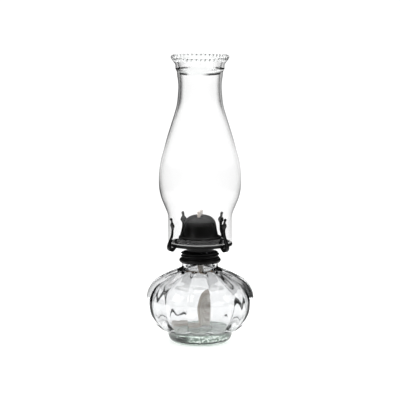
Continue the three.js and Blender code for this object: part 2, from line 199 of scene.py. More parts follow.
class Piece:
    """One mesh on the bench. Its tools give the piece itself back, so that they chain."""

    def __init__(self, name: str) -> None:
        """Names the piece, which has no shape until it is drawn or adopted."""
        self.name = name
        self.object: Object | None = None

    def adopt(self) -> "Piece":
        """Takes the active object as this piece.

        Returns:
            The piece itself.
        """
        self.object = bpy.context.view_layer.objects.active
        self.object.name = self.name
        self.object.data.name = self.name
        return self

    def settle(self) -> "Piece":
        """Puts the piece's place, turn and scale into its mesh.

        Returns:
            The piece itself.
        """
        self.pick()
        bpy.ops.object.transform_apply(location=True, rotation=True, scale=True)
        return self

    def pick(self) -> None:
        """Makes this piece the only one selected."""
        deselect()
        bpy.context.view_layer.objects.active = self.object
        self.object.select_set(True)

    def edit(self) -> None:
        """Enters edit mode with the whole piece selected."""
        self.pick()
        bpy.ops.object.mode_set(mode="EDIT")
        bpy.ops.mesh.select_all(action="SELECT")

    def draw(self, line: Sequence[tuple[float, float]], closed: bool) -> "Piece":
        """Draws an outline in the X-Z plane, one extruded point after another.

        Args:
            line: radius and height of each point, in millimetres.
            closed: True if the last point joins the first.

        Returns:
            The piece itself.
        """
        deselect()
        first = (line[0][0] * MM, 0, line[0][1] * MM)
        bpy.ops.mesh.primitive_plane_add(size=MM, location=(0, 0, 0))
        self.adopt().edit()
        bpy.ops.mesh.merge(type="CENTER")
        bpy.ops.transform.translate(value=first)
        ends = [*line[1:], line[0]] if closed else line[1:]
        for (r0, z0), (r1, z1) in zip(line, ends):
            step = ((r1 - r0) * MM, 0, (z1 - z0) * MM)
            bpy.ops.mesh.extrude_region_move(TRANSFORM_OT_translate={"value": step})
        if closed:
            bpy.ops.mesh.select_all(action="SELECT")
            bpy.ops.mesh.remove_doubles(threshold=DRAWN_WELD)
        return self

    def spin(self, steps: int) -> "Piece":
        """Turns the drawn outline once about the lamp's axis and closes the result.

        Args:
            steps: facets round the turn.

        Returns:
            The piece itself.
        """
        bpy.ops.mesh.select_all(action="SELECT")
        bpy.ops.mesh.spin(steps=steps, angle=math.tau, center=(0, 0, 0), axis=(0, 0, 1))
        return self.close()

    def close(self) -> "Piece":
        """Welds doubled points and turns every face outwards.

        Returns:
            The piece itself.
        """
        self.edit()
        bpy.ops.mesh.remove_doubles(threshold=WELD)
        bpy.ops.mesh.normals_make_consistent(inside=False)
        bpy.ops.object.mode_set(mode="OBJECT")
        return self

    def modify(self, kind: str, **settings: object) -> "Piece":
        """Adds a modifier with the given settings and applies it.

        Args:
            kind: the modifier's type.
            settings: the modifier's own settings, by name.

        Returns:
            The piece itself.
        """
        self.pick()
        modifier = self.object.modifiers.new(kind.title(), kind)
        for key, value in settings.items():
            setattr(modifier, key, value)
        bpy.ops.object.modifier_apply(modifier=modifier.name)
        return self

    def round_edges(self, width: float) -> "Piece":
        """Rounds every edge sharper than one radian by a width in millimetres."""
        sharp = 1.0
        return self.modify("BEVEL", width=width * MM, segments=2, limit_method="ANGLE", angle_limit=sharp)

    def carve(self, depth: float, weight: Callable[[Vector], float]) -> "Piece":
        """Sinks the surface along its normals where weight says.

        Args:
            depth: how deep a weight of 1 sinks, in millimetres.
            weight: gives 0 to 1 for a point in millimetres.

        Returns:
            The piece itself.
        """
        self.pick()
        group = self.object.vertex_groups.new(name=CARVED)
        for vertex in self.object.data.vertices:
            value = weight(vertex.co / MM)
            if value > 0:
                group.add([vertex.index], value, "REPLACE")
        self.modify("DISPLACE", strength=-depth * MM, mid_level=0, vertex_group=CARVED)
        self.object.vertex_groups.clear()
        return self

    def cut(self, *cutters: "Piece") -> "Piece":
        """Cuts other pieces out of this one and throws them away.

        Args:
            cutters: the pieces to cut out.

        Returns:
            The piece itself.
        """
        for cutter in cutters:
            self.modify("BOOLEAN", operation="DIFFERENCE", object=cutter.object, solver="EXACT")
            cutter.discard()
        return self

    def unite(self, *others: "Piece") -> "Piece":
        """Joins other pieces to this one as a single solid.

        Args:
            others: the pieces to join on.

        Returns:
            The piece itself.
        """
        for other in others:
            self.modify("BOOLEAN", operation="UNION", object=other.object, solver="EXACT")
            other.discard()
        return self

    def discard(self) -> None:
        """Removes the piece and its mesh."""
        mesh = self.object.data
        bpy.data.objects.remove(self.object)
        bpy.data.meshes.remove(mesh)

    def turn(self, degrees: float) -> "Piece":
        """Turns the whole piece about the lamp's axis, anticlockwise seen from above."""
        self.object.rotation_euler = (0, 0, math.radians(degrees))
        return self.settle()

    def copy(self, name: str) -> "Piece":
        """Gives a second piece with a mesh of its own.

        Args:
            name: the new piece's name.

        Returns:
            The second piece.
        """
        twin = Piece(name)
        twin.object = self.object.copy()
        twin.object.data = self.object.data.copy()
        bpy.context.scene.collection.objects.link(twin.object)
        twin.object.name = name
        twin.object.data.name = name
        return twin

    def soften(self, degrees: float) -> "Piece":
        """Shades smooth across every edge flatter than the angle.

        Args:
            degrees: the angle.

        Returns:
            The piece itself.
        """
        self.pick()
        bpy.ops.object.shade_smooth_by_angle(angle=math.radians(degrees))
        return self

    def dress(self, materials: Iterable[Material]) -> None:
        """Gives the piece its materials, the first one for most faces.

        Args:
            materials: the materials, in the order of their slots.
        """
        self.object.data.materials.clear()
        for material in materials:
            self.object.data.materials.append(material)

    def finish(
        self, body: str, slot: Slot, materials: Iterable[Material], *nodes: str
    ) -> Object:
        """Dresses the piece and hangs it on its body.

        Args:
            body: name of the moving body that it rides on.
            slot: the record's material slot; not used.
            materials: the piece's materials.
            nodes: CAD nodes that the piece stands for.

        Returns:
            The finished object.
        """
        self.dress(materials)
        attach(self.object, body)
        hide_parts(*nodes)
        triangles = sum(len(p.vertices) - 2 for p in self.object.data.polygons)
        LOG.info("%s: %d triangles on %s", self.name, triangles, body)
        return self.object


def block(name: str, centre: Sequence[float], size: Sequence[float]) -> Piece:
    """A plain box for cutting, centre and size in millimetres.

    Args:
        name: the new piece's name.
        centre: middle of the box.
        size: width, depth and height.

    Returns:
        The box.
    """
    deselect()
    bpy.ops.mesh.primitive_cube_add(size=MM, location=[c * MM for c in centre], scale=size)
    return Piece(name).adopt().settle()


def rod(name: str, radius: float, start: Vector, end: Vector, sides: int = 24) -> Piece:
    """A round bar between two points, in millimetres.

    Args:
        name: the new piece's name.
        radius: the bar's radius.
        start: middle of its first end.
        end: middle of its other end.
        sides: facets round it.

    Returns:
        The bar.
    """
    deselect()
    run = end - start
    bpy.ops.mesh.primitive_cylinder_add(
        vertices=sides,
        radius=radius * MM,
        depth=run.length * MM,
        location=(start + end) / 2 * MM,
        rotation=run.to_track_quat("Z", "Y").to_euler(),
    )
    return Piece(name).adopt().settle()


# ------------------------------------------------------------------ finishes


class Nodes:
    """Short way to put nodes in a material, a world or a group."""

    def __init__(self, tree: NodeTree) -> None:
        """Works in the given tree, which it empties first."""
        self.tree = tree
        tree.nodes.clear()

    def add(self, kind: str, **settings: object) -> Node:
        """Adds a node; settings are its attributes, or values and sockets for its inputs.

        Args:
            kind: the node's type.
            settings: each setting, with spaces in an input's name written as underscores.

        Returns:
            The node.
        """
        node = self.tree.nodes.new(kind)
        for key, value in settings.items():
            if hasattr(node, key):
                setattr(node, key, value)
            else:
                self.join(value, node.inputs[key.replace("_", " ")])
        return node

    def join(self, source: object, target: NodeSocket) -> None:
        """Links an output to an input, or gives the input a plain value.

        Args:
            source: a socket or a plain value.
            target: the input.
        """
        if isinstance(source, NodeSocket):
            self.tree.links.new(source, target)
        else:
            target.default_value = source

    def group(self, tree: NodeTree, **settings: float) -> NodeSocket:
        """Adds a shared group and gives its output."""
        return self.add("ShaderNodeGroup", node_tree=tree, **settings).outputs[0]

    def maths(self, operation: str, *values: object) -> NodeSocket:
        """Adds one sum of up to three values, each a socket or a number.

        Args:
            operation: which sum.
            values: what goes in, in order.

        Returns:
            The sum's result.
        """
        node = self.add("ShaderNodeMath", operation=operation)
        for socket, value in zip(node.inputs, values):
            self.join(value, socket)
        return node.outputs[0]

    def halved(self, value: NodeSocket) -> NodeSocket:
        """Brings a value between -1 and 1 to between 0 and 1."""
        return self.maths("MULTIPLY_ADD", value, 0.5, 0.5)

    def blend(self, share: NodeSocket, first: object, second: object) -> NodeSocket:
        """Mixes two colours, each a socket or a colour; share 1 gives the second.

        Args:
            share: socket that gives the second one's share.
            first: the colour where share is 0.
            second: the colour where share is 1.

        Returns:
            The mixed colour.
        """
        node = self.add("ShaderNodeMix", data_type="RGBA")
        for index, value in zip(MIX_INPUTS, (share, first, second)):
            self.join(value, node.inputs[index])
        return node.outputs[MIX_COLOUR_OUTPUT]

    def layer(self, share: object, under: Node, over: Node) -> Node:
        """Mixes two shaders; share 1 gives the second.

        Args:
            share: the second shader's share, a socket or a number.
            under: the shader where share is 0.
            over: the shader where share is 1.

        Returns:
            The node that mixes them.
        """
        node = self.add("ShaderNodeMixShader")
        for socket, value in zip(node.inputs, (share, under.outputs[0], over.outputs[0])):
            self.join(value, socket)
        return node

    def ramp(self, factor: NodeSocket, stops: Stops) -> NodeSocket:
        """Adds a colour ramp; each stop is a place and a colour or a grey.

        Args:
            factor: socket that picks the place.
            stops: the stops, from 0 to 1.

        Returns:
            The ramp's colour.
        """
        node = self.add("ShaderNodeValToRGB")
        elements = node.color_ramp.elements
        while len(elements) < len(stops):
            elements.new(0.5)
        for element, (place, colour) in zip(elements, stops):
            element.position = place
            element.color = (*(colour if isinstance(colour, tuple) else (colour,) * 3), 1)
        self.join(factor, node.inputs[0])
        return node.outputs[0]

    def bump(self, height: object, strength: float, distance: float) -> NodeSocket:
        """Turns a height into a normal; distance is in metres."""
        return self.add("ShaderNodeBump", Strength=strength, Distance=distance, Height=height).outputs[0]

    def surface(self, shader: Node) -> None:
        """Makes the shader the material's surface."""
        self.add("ShaderNodeOutputMaterial", Surface=shader.outputs[0])


def new_group(name: str, inputs: dict[str, float], output: str) -> tuple[NodeTree, Nodes]:
    """Starts a shader node group with number sockets.

    Args:
        name: the group's name.
        inputs: inputs with their usual values.
        output: the output's name.

    Returns:
        The group and the tool that fills it.
    """
    tree = bpy.data.node_groups.new(name, "ShaderNodeTree")
    for label, value in inputs.items():
        socket = tree.interface.new_socket(label, in_out="INPUT", socket_type="NodeSocketFloat")
        socket.default_value = value
    tree.interface.new_socket(output, in_out="OUTPUT", socket_type="NodeSocketFloat")
    return tree, Nodes(tree)


def film_group() -> NodeTree:
    """Dust and handling: a mask of soft patches with fine specks in them.

    Returns:
        The group.
    """
    finer, threshold, contrast, speckle = 14.0, 0.42, 3.0, 0.5
    tree, n = new_group("surface_film", {"Scale": 60.0, "Amount": 0.3}, "Mask")
    source = n.add("NodeGroupInput").outputs
    place = n.add("ShaderNodeTexCoord").outputs["Object"]
    small = n.maths("MULTIPLY", source["Scale"], finer)
    broad = n.add("ShaderNodeTexNoise", Detail=6.0, Roughness=0.6, Vector=place, Scale=source["Scale"])
    fine = n.add("ShaderNodeTexNoise", Detail=2.0, Vector=place, Scale=small)
    spread = n.maths("MULTIPLY", n.maths("SUBTRACT", broad.outputs["Fac"], threshold), contrast)
    speck = n.maths("MULTIPLY", fine.outputs["Fac"], speckle)
    mask = n.maths("MULTIPLY", n.maths("ADD", spread, speck), source["Amount"])
    n.add("NodeGroupOutput", Mask=n.add("ShaderNodeClamp", Value=mask).outputs[0])
    return tree


def grain_group() -> NodeTree:
    """Fine height of a sprayed, stamped or pressed surface.

    Returns:
        The group.
    """
    tree, n = new_group("surface_grain", {"Scale": 900.0, "Stretch": 1.0}, "Height")
    source = n.add("NodeGroupInput").outputs
    place = n.add("ShaderNodeTexCoord").outputs["Object"]
    size = n.add("ShaderNodeCombineXYZ", X=1.0, Y=1.0, Z=source["Stretch"])
    stretched = n.add("ShaderNodeMapping", Vector=place, Scale=size.outputs[0]).outputs[0]
    noise = n.add(
        "ShaderNodeTexNoise", Detail=4.0, Roughness=0.55, Vector=stretched, Scale=source["Scale"]
    )
    n.add("NodeGroupOutput", Height=noise.outputs["Fac"])
    return tree


@dataclass(frozen=True)
class Finish:
    """What every finish has."""

    name: str

    def start(self) -> tuple[Material, Nodes]:
        """Makes the empty material and the tool that fills it.

        Returns:
            The material and the tool.
        """
        material = bpy.data.materials.new(self.name)
        material.use_nodes = True
        return material, Nodes(material.node_tree)


@dataclass(frozen=True)
class Metal(Finish):
    """Thin metal, bare or painted, that dust and handling have dulled in patches."""

    metallic: float = 1.0
    specular: float = 0.5
    clean: Colour = (0.5, 0.5, 0.5)
    worn: Colour = (0.25, 0.25, 0.25)
    roughness: float = 0.3
    dulling: float = 0.3
    dust_scale: float = 160.0
    dust: float = 0.3
    grain_scale: float = 700.0
    stretch: float = 1.0
    bump: float = 0.2
    bump_height: float = 0.0001

    def make(self, film: NodeTree, grain: NodeTree) -> Material:
        """Builds the material from the shared film and grain.

        Args:
            film: the shared group of dust and handling.
            grain: the shared group of fine height.

        Returns:
            The material.
        """
        material, n = self.start()
        dust = n.group(film, Scale=self.dust_scale, Amount=self.dust)
        height = n.group(grain, Scale=self.grain_scale, Stretch=self.stretch)
        shader = n.add(
            "ShaderNodeBsdfPrincipled",
            Metallic=self.metallic,
            Specular_IOR_Level=self.specular,
            Base_Color=n.ramp(dust, [(0, self.clean), (1, self.worn)]),
            Roughness=n.maths("MULTIPLY_ADD", dust, self.dulling, self.roughness),
            Normal=n.bump(height, self.bump, self.bump_height),
        )
        n.surface(shader)
        return material


@dataclass(frozen=True)
class Enamel(Metal):
    """Satin black enamel on thin pressed steel."""

    metallic: float = 0.0
    specular: float = 0.16
    clean: Colour = (0.001, 0.001, 0.001)
    worn: Colour = (0.006, 0.006, 0.006)
    dulling: float = 0.22
    dust_scale: float = 70.0
    dust: float = 0.45
    grain_scale: float = 1400.0
    bump: float = 0.18
    bump_height: float = 0.0002


@dataclass(frozen=True)
class Steel(Metal):
    """Plain drawn steel, a little dull."""

    clean: Colour = (0.50, 0.50, 0.51)
    worn: Colour = (0.24, 0.22, 0.20)
    stretch: float = 0.15


@dataclass(frozen=True)
class Cork(Finish):
    """Pressed cork granules."""

    granules: float = 900.0
    dark: Colour = (0.16, 0.08, 0.03)
    light: Colour = (0.46, 0.28, 0.13)

    def make(self, grain: NodeTree) -> Material:
        """Builds the material from the shared grain.

        Args:
            grain: the shared group of fine height.

        Returns:
            The material.
        """
        material, n = self.start()
        place = n.add("ShaderNodeTexCoord").outputs["Object"]
        cells = n.add("ShaderNodeTexVoronoi", Scale=self.granules, Vector=place).outputs["Distance"]
        shader = n.add(
            "ShaderNodeBsdfPrincipled",
            Roughness=0.85,
            Base_Color=n.ramp(cells, [(0, self.dark), (1, self.light)]),
            Normal=n.bump(n.group(grain), 0.6, 0.0003),
        )
        n.surface(shader)
        return material


@dataclass(frozen=True)
class Glass(Finish):
    """Clear glass that bends light; shadows pass through it. Grazing views turn its colour dark: painted
    edge shade.
    """

    body: Colour = (0.97, 0.985, 0.98)
    # Painted edge shade: the colour that grazing views turn to.
    edge: Colour = (0.35, 0.38, 0.37)
    roughness: float = 0.0
    ior: float = 1.47
    ripple: float = 0.0
    ripple_height: float = 0.0004
    scale: float = 120.0
    mottle: float = 0.0
    mottle_scale: float = 1.8
    dark_speck_colour: Colour = (0.05, 0.10, 0.065)
    shadow: Colour = (0.93, 0.95, 0.94)
    # How far the view must slant before the painted edge shade starts.
    turn: float = 0.6

    def make(self, grain: NodeTree) -> Material:
        """Builds the material; the shared grain gives a faint moulded ripple.

        Args:
            grain: the shared group of fine height.

        Returns:
            The material.
        """
        material, n = self.start()
        # Painted edge shade: the colour goes from body to edge as the view grazes the surface.
        facing = n.add("ShaderNodeLayerWeight", Blend=0.5).outputs["Facing"]
        tint_and_edge_shade = n.ramp(facing, [(0, self.body), (self.turn, self.body), (1, self.edge)])
        # Dark green specks mixed into the colour in patches.
        if self.mottle:
            spots = n.group(grain, Scale=self.mottle_scale * self.scale)
            level = n.ramp(spots, [(0.44, self.mottle), (0.56, 0.0)])
            tint_and_edge_shade = n.blend(level, tint_and_edge_shade, (*self.dark_speck_colour, 1))
        shader = n.add("ShaderNodeBsdfPrincipled", Base_Color=tint_and_edge_shade, Roughness=self.roughness, IOR=self.ior)
        n.join(1.0, shader.inputs["Transmission Weight"])
        if self.ripple:
            waves = n.group(grain, Scale=self.scale)
            n.join(n.bump(waves, self.ripple, self.ripple_height), shader.inputs["Normal"])
        clear = n.add("ShaderNodeBsdfTransparent", Color=(*self.shadow, 1))
        n.surface(n.layer(n.add("ShaderNodeLightPath").outputs["Is Shadow Ray"], shader, clear))
        return material


@dataclass(frozen=True)
class BlownGlass(Finish):
    """Thin clear glass: light passes straight through, and grazing views turn the transparent colour dark as
    painted edge shade.

    `edge` pairs the slant of the view with the colour there, and `thick_edge` is the same for
    thick glass. `bands` pairs a height in millimetres with how strongly the painted edge shade draws
    there, and `thick_bands` with how thick the glass is. On the side at +X the painted edge shade
    draws more faintly.
    """

    gloss: float = 0.05
    ior: float = 1.45
    painted_side_fade: float = -6.0
    painted_side_level: float = 0.85
    edge: Pairs = (
        (0.0, 1.0), (0.2, 0.995), (0.38, 0.97), (0.5, 0.93), (0.6, 0.85), (0.7, 0.68),
        (0.78, 0.42), (0.86, 0.2),
    )
    bands: Pairs = (
        (108, 0.35), (131, 0.5), (145, 1.0), (160, 1.0), (175, 0.5), (188, 0.3), (204, 0.35),
        (220, 0.75), (236, 1.0), (284, 1.0),
    )
    thick_edge: Pairs = (
        (0.0, 1.0), (0.35, 0.98), (0.46, 0.88), (0.56, 0.62), (0.66, 0.42), (0.8, 0.3), (0.9, 0.5),
    )
    thick_bands: Pairs = ((246, 0.0), (258, 0.85), (283, 0.75))

    def make(self) -> Material:
        """Builds the material.

        Returns:
            The material.
        """
        material, n = self.start()
        facing = n.add("ShaderNodeLayerWeight", Blend=0.5).outputs["Facing"]
        place = n.add("ShaderNodeTexCoord").outputs["Object"]
        parts = n.add("ShaderNodeSeparateXYZ", Vector=place).outputs
        height = n.maths("MULTIPLY", parts["Z"], 1 / (RAMP_HEIGHT * MM))
        # Painted edge shade: its strength by height, and where it takes the thick look.
        band, neck = (
            n.ramp(height, [(z / RAMP_HEIGHT, strength) for z, strength in pairs])
            for pairs in (self.bands, self.thick_bands)
        )
        # Painted edge shade draws more faintly towards +X.
        side = n.maths("MULTIPLY_ADD", parts["X"], self.painted_side_fade, self.painted_side_level)
        share = n.maths("MULTIPLY", band, side)
        share.node.use_clamp = True
        # Grazing views turn the transparent colour dark: painted edge shade.
        line = n.blend(neck, n.ramp(facing, self.edge), n.ramp(facing, self.thick_edge))
        clear = n.add("ShaderNodeBsdfTransparent", Color=n.blend(share, (1, 1, 1, 1), line))
        gloss = n.add("ShaderNodeBsdfGlossy", Roughness=0.0)
        mirror = n.add("ShaderNodeFresnel", IOR=self.ior).outputs[0]
        n.surface(n.layer(n.maths("MINIMUM", mirror, self.gloss), clear, gloss))
        return material


@dataclass(frozen=True)
class GroundEdge(Finish):
    """The chimney's foot, ground flat and left a little frosted; its white share is partly frosting and
    partly a painted highlight along the glass's bottom edge.
    """

    frost_and_highlight: float = 0.3
    colour: Colour = (0.85, 0.86, 0.85)

    def make(self, grain: NodeTree) -> Material:
        """Builds the material from the shared grain.

        Args:
            grain: the shared group of fine height.

        Returns:
            The material.
        """
        material, n = self.start()
        clear = n.add("ShaderNodeBsdfTransparent")
        # Partly frosting, partly a painted highlight of the glass's bottom edge.
        white = n.add("ShaderNodeBsdfDiffuse", Color=(*self.colour, 1))
        n.surface(n.layer(n.maths("MULTIPLY", n.group(grain), 2 * self.frost_and_highlight), clear, white))
        return material


@dataclass(frozen=True)
class Cotton(Finish):
    """Flat woven cotton: cords along the wick with a weft across them, painted darker in the weave's hollows
    and lighter on its crests as painted shade.
    """

    cords: int = 9
    weft: float = 1100.0
    stain: Colour = (0.26, 0.20, 0.16)
    stain_share: float = 0.6
    # Painted shade of the weave, from its hollows at 0 to its crests at 1.
    hollow_and_crest_shade: tuple[tuple[float, Colour], ...] = (
        (0, (0.42, 0.38, 0.34)), (0.5, (0.74, 0.71, 0.67)), (1, (0.88, 0.86, 0.83)),
    )

    def make(self, film: NodeTree) -> Material:
        """Builds the material on the wick's own map, u across and v along it in metres.

        Args:
            film: the shared group of dust and handling.

        Returns:
            The material.
        """
        material, n = self.start()
        own = n.add("ShaderNodeUVMap", uv_map=WEAVE_MAP).outputs[0]
        parts = n.add("ShaderNodeSeparateXYZ", Vector=own).outputs
        cord = n.maths("ABSOLUTE", n.maths("SINE", n.maths("MULTIPLY", parts["X"], math.pi * self.cords)))
        count = n.maths("FLOOR", n.maths("MULTIPLY", parts["X"], self.cords))
        along = n.maths("MULTIPLY", parts["Y"], self.weft * math.pi)
        phase = n.maths("ADD", along, n.maths("MULTIPLY", count, math.pi))
        # The weave's height also sets painted shade: darker in the hollows, lighter on the crests.
        height = n.maths("MULTIPLY", cord, n.halved(n.maths("SINE", phase)))
        share = n.maths("MULTIPLY", n.group(film, Scale=60.0, Amount=0.9), self.stain_share)
        shader = n.add(
            "ShaderNodeBsdfPrincipled",
            Roughness=0.92,
            Sheen_Weight=0.3,
            Base_Color=n.blend(share, n.ramp(height, self.hollow_and_crest_shade), (*self.stain, 1)),
            Normal=n.bump(height, 0.9, 0.0004),
        )
        n.surface(shader)
        return material


class Palette:
    """Every finish on the lamp, made once."""

    def __init__(self) -> None:
        """Builds the shared groups and the materials."""
        film, grain = film_group(), grain_group()
        self.enamel = Enamel("black_enamel").make(film, grain)
        self.steel = Steel("drawn_steel").make(film, grain)
        self.cork = Cork("pressed_cork").make(grain)
        # Pressed and foot glass: each edge colour is painted edge shade.
        self.pressed = Glass(
            "pressed_glass", body=(0.77, 0.775, 0.78), edge=(0.06, 0.065, 0.065), ripple=0.07,
            scale=80.0, turn=0.5,
        ).make(grain)
        self.foot = Glass(
            "foot_glass", body=(0.80, 0.88, 0.83), edge=(0.08, 0.12, 0.09), ripple=0.5,
            scale=230.0, mottle=0.9,
        ).make(grain)
        # Blown glass outside, inside and rim: the edge ramps are painted edge shade.
        self.blown = BlownGlass("blown_glass").make()
        self.inside = BlownGlass(
            "blown_glass_inside", gloss=0.01,
            edge=((0.0, 1.0), (0.4, 0.99), (0.6, 0.9), (0.75, 0.62), (0.9, 0.3)),
            bands=((108, 0.1), (236, 0.12), (248, 0.8), (284, 0.9)),
        ).make()
        self.rim = BlownGlass(
            "rim_glass", gloss=0.06,
            edge=((0.0, 1.0), (0.3, 0.97), (0.55, 0.86), (0.75, 0.5), (0.88, 0.2)),
            bands=((0, 1.0), (RAMP_HEIGHT, 1.0)), thick_bands=((0, 0.0), (RAMP_HEIGHT, 0.0)),
        ).make()
        # Lip glass: near-black painted edge shade on the lip and the collar.
        self.lip = Glass("lip_glass", edge=(0.02, 0.022, 0.021), turn=0.3).make(grain)
        self.ground = GroundEdge("ground_edge").make(grain)
        self.cotton = Cotton("woven_cotton").make(film)


# ------------------------------------------------------------------ glass


@dataclass
class Font:
    """The ribbed glass reservoir with its foot and threaded neck."""

    ribs: int = 14
    facets_per_rib: int = 20
    first_groove: float = 12.0
    rib_depth: float = 2.7
    wall: float = 3.2
    foot_radius: float = 33.9
    widest: float = 58.0
    neck_radius: float = 18.9
    neck_bore: float = 13.6
    neck_top: float = 94.4
    thread_root: float = 18.03
    thread_low: float = 87.6
    thread_high: float = 94.0
    thread_fade: float = 1.0
    thread_skin: float = 0.05
    rib_sharpness: float = 1.5
    rib_low: tuple[float, float] = (11.4, 20.0)
    rib_inner: tuple[float, float] = (21.0, 27.0)
    neck_clear: float = 22.0
    skin: float = 1.2
    inner_follow: float = 0.4
    foot_height: float = 11.5
    shoulder: Outline = field(default_factory=list)

    def outside(self) -> Outline:
        """The body's outer line over the ribs, from the foot up to the neck.

        Returns:
            Radius and height of each point, in millimetres.
        """
        return smooth_line(
            [
                (36.5, 12.6), (42, 15.4), (50.6, 23.2), (56.2, 33), (self.widest, 45),
                (56.3, 54.5), (50.6, 64), (42.5, 69.8), (32, 75.2), (24, 78.3),
            ],
            7,
        )

    def outline(self) -> Outline:
        """Half section of the font, from under the foot round to its floor.

        Returns:
            Radius and height of each point, in millimetres.
        """
        outside = self.outside()
        inside = offset_line(outside, self.wall)[::-1]
        thread = [(self.thread_root, 88 + THREAD_STEP * i) for i in range(21)]
        return [
            (0, 1.4), (17.4, 1.4), (18.6, 1.1), (20, 0.3), (21, 0), (25, 0), (27, 0.35), (29.9, 2.0),
            (32, 4.1), (33.3, 6.4), (self.foot_radius, 8.8), (34, 10.6), (34.8, 11.8),
            *outside,
            (20.4, 79.9), (19.2, 81), (self.neck_radius, 82.4), (self.neck_radius, 86),
            (18.5, 87.1), *thread, (17.7, 94.2), (17.0, self.neck_top), (14.2, self.neck_top),
            (self.neck_bore, 93.8), (self.neck_bore, 81), (14.2, 78.6), (16.2, 77.2), (19.4, 76.4),
            *inside, (32, 14.6), (29, 13.8), (24, 13.5), (0, 13.4),
        ]

    def outer_radius(self, height: float) -> float:
        """Radius of the body over its ribs at a height, or 0 above and below it.

        Args:
            height: the height, in millimetres.

        Returns:
            The radius, in millimetres.
        """
        for (r0, z0), (r1, z1) in zip(self.shoulder, self.shoulder[1:]):
            if z0 <= height <= z1:
                return r0 + (r1 - r0) * (height - z0) / (z1 - z0)
        return 0.0

    def groove(self, point: Vector, outer: bool) -> float:
        """How deep a groove runs at a point of the outer or the inner face.

        Args:
            point: the point, in millimetres.
            outer: True for the outer face, False for the inner one.

        Returns:
            0 between the grooves to 1 in the deepest one.
        """
        radius = math.hypot(point.x, point.y)
        edge = self.outer_radius(point.z)
        if radius < self.neck_clear or edge == 0 or outer != (radius > edge - self.skin):
            return 0.0
        turn = math.atan2(point.y, point.x) - math.radians(self.first_groove - 90)
        line = (1 - abs(math.sin(self.ribs / 2 * turn))) ** self.rib_sharpness
        low = smoothstep(*self.rib_low, point.z)
        return line * low * radius / self.widest * smoothstep(*self.rib_inner, radius)

    def thread(self, point: Vector) -> float:
        """Height of the neck's thread at a point.

        Args:
            point: the point, in millimetres.

        Returns:
            0 at the thread's root to 1 at its crest.
        """
        radius = math.hypot(point.x, point.y)
        low, high, fade = self.thread_low, self.thread_high, self.thread_fade
        on_neck = abs(radius - self.thread_root) <= self.thread_skin
        if not on_neck or not low < point.z < high:
            return 0.0
        ends = smoothstep(low, low + fade, point.z) * (1 - smoothstep(high - fade, high, point.z))
        return thread_wave(point) * ends

    def build(self, palette: Palette) -> None:
        """Models the font and dresses it.

        Args:
            palette: every finish on the lamp.
        """
        self.shoulder = self.outside()
        piece = Piece("font_glass").draw(self.outline(), closed=False)
        piece.spin(self.ribs * self.facets_per_rib)
        piece.carve(-self.rib_depth * self.inner_follow, lambda point: self.groove(point, outer=False))
        piece.carve(self.rib_depth, lambda point: self.groove(point, outer=True))
        piece.carve(-THREAD_DEPTH, self.thread)
        piece.soften(30)
        made = piece.finish(Body.FONT.value, Slot.GLASS, [palette.pressed, palette.foot], "font")
        for face in made.data.polygons:
            face.material_index = int(face.center.z < self.foot_height * MM)


class Coat(IntEnum):
    """The chimney's materials, in the order of their slots."""

    OUTSIDE = 0
    RIM = 1
    GROUND = 2
    INSIDE = 3
    LIP = 4


